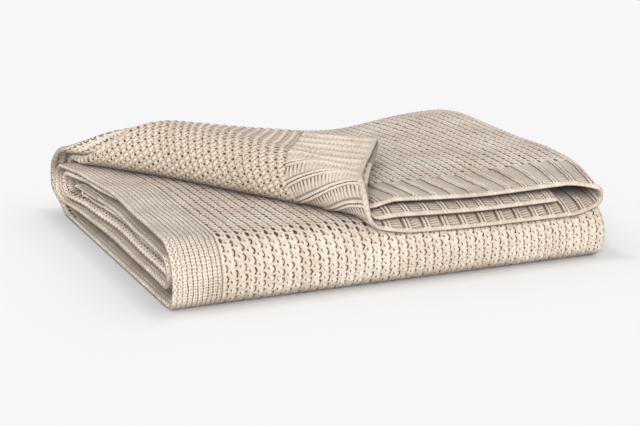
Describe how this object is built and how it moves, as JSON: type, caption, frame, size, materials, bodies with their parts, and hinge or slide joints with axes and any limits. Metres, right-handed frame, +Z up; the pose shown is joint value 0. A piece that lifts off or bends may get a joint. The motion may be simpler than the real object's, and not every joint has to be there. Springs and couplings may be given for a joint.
{
  "type": "folded knitted throw blanket",
  "caption": "Chunky cotton knit throw, folded in three and rolled flat, with one corner turned back over the top to show its ribbed hem.",
  "frame": {"origin": "on the surface under the middle of the folded throw's bounding box", "axes": "+X along the folded length towards the closed right end, +Y to the back fold, +Z up"},
  "size_m": [0.4468, 0.3792, 0.1144],
  "materials": {
    "knit": "matt oatmeal cotton knit"
  },
  "bodies": {
    "root": {"throw_blanket": "knit"}
  },
  "joints": []
}
